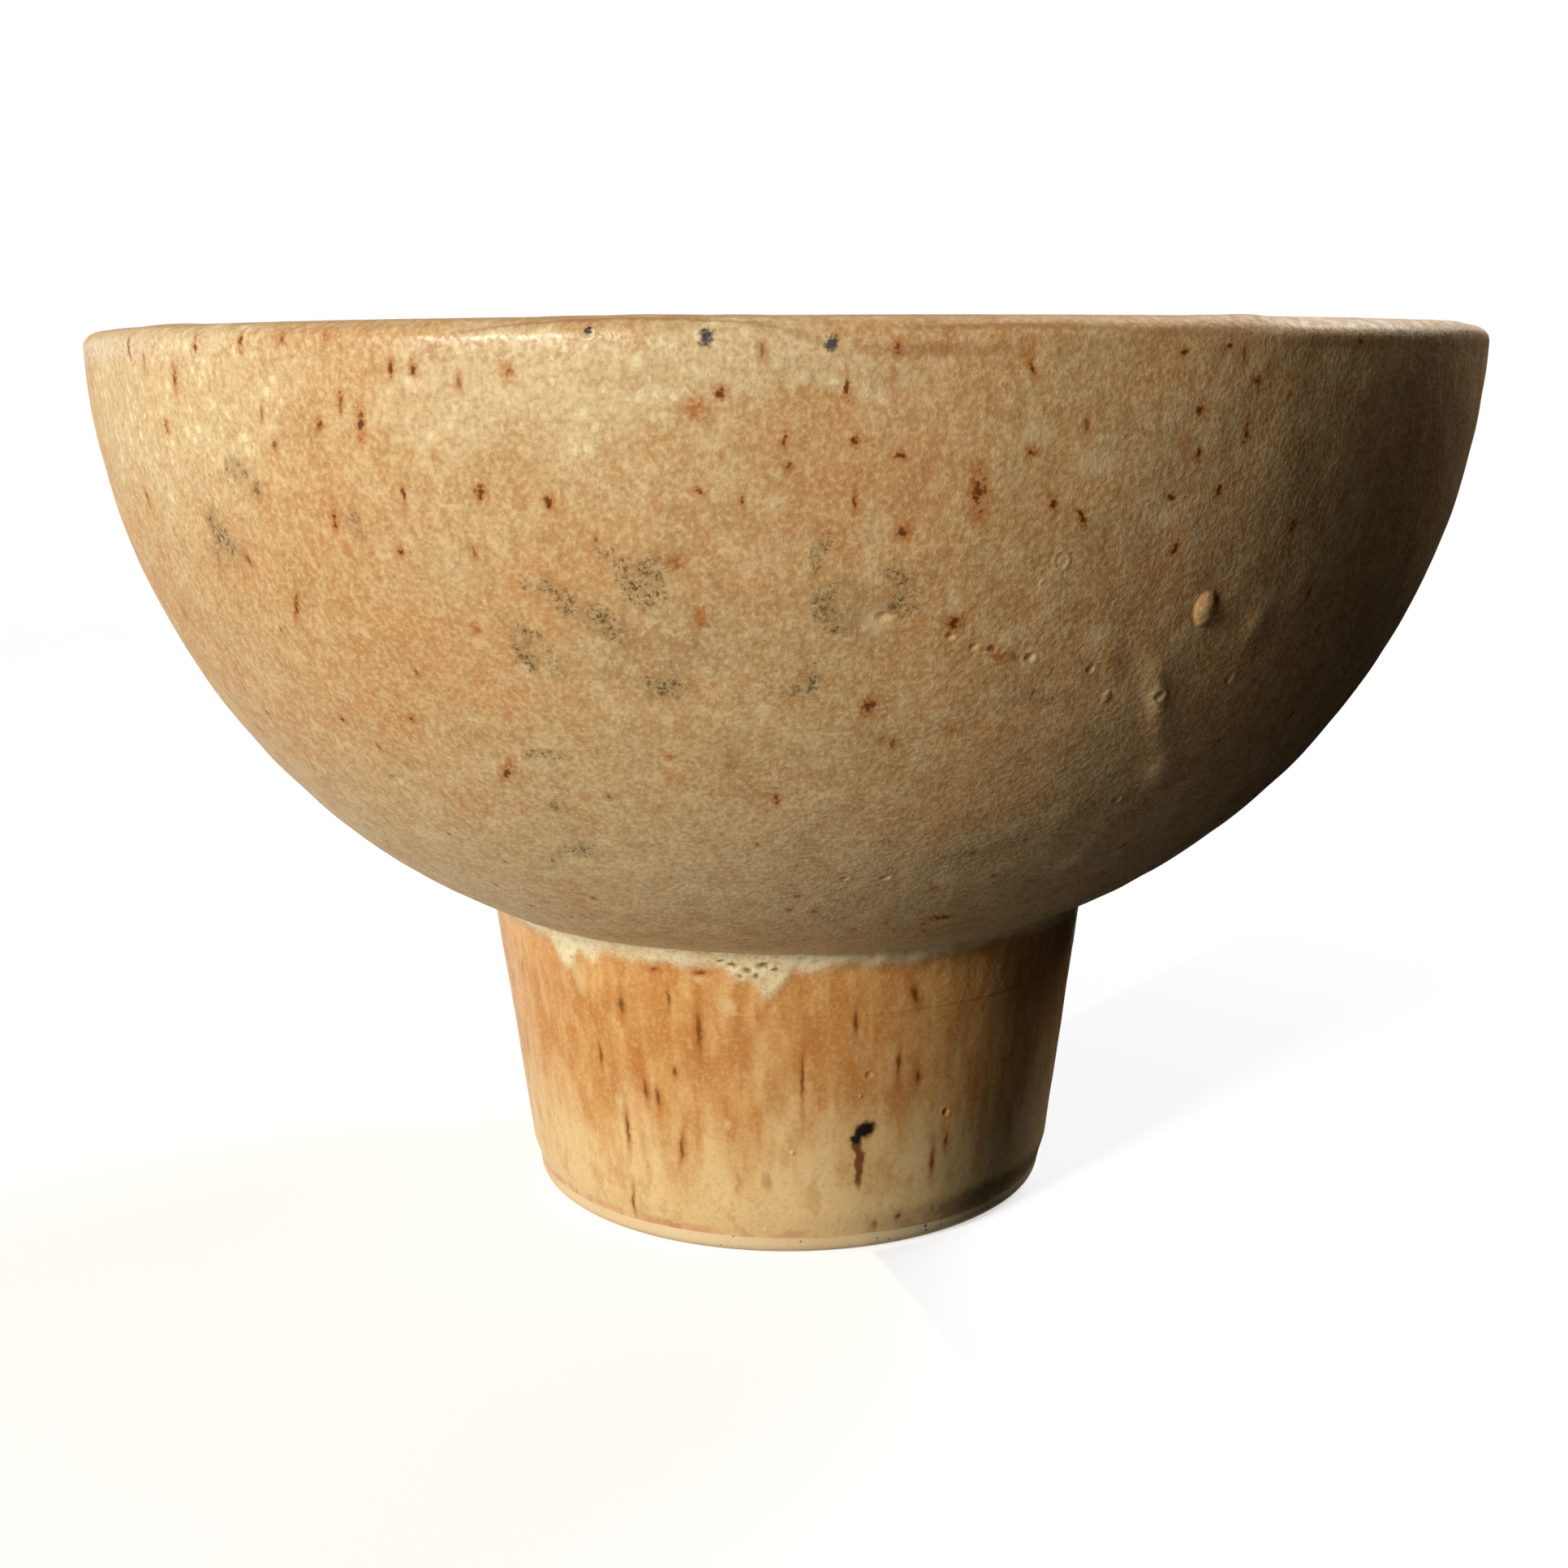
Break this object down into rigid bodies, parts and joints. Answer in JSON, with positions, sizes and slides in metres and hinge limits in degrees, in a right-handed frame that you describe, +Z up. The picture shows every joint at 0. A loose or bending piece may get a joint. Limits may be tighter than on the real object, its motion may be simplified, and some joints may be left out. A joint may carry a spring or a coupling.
{
  "type": "footed cup",
  "caption": "Footed stoneware cup: a deep round bowl with a rounded lip, stuck with slip on a hollow tapered foot, under satin tan and amber glazes.",
  "frame": {"origin": "centre of the standing ring, on the plane that the cup stands on", "axes": "+Z up along the axis that the bowl and the foot were thrown on; the cup is round, so +X and +Y are free"},
  "size_m": [0.13, 0.13, 0.0845],
  "materials": {
    "bowl_clay": "bare fired stoneware, dry and finely gritty",
    "foot_clay": "bare fired stoneware, dry, smoothed at the standing ring",
    "slip": "bare fired slip, dry",
    "bowl_glaze": "satin tan glaze with cream speckle and brown iron specks",
    "liner_glaze": "satin tan liner glaze",
    "foot_glaze": "half-gloss amber glaze with brown streaks",
    "collar_glaze": "thick pooled cream glaze, half gloss"
  },
  "bodies": {
    "root": {"bowl_body": "bowl_clay", "bowl_outer_glaze": "bowl_glaze", "bowl_liner_glaze": "liner_glaze", "foot_body": "foot_clay", "foot_glaze": "foot_glaze", "joint_slip": "slip", "joint_glaze_collar": "collar_glaze"}
  },
  "joints": []
}
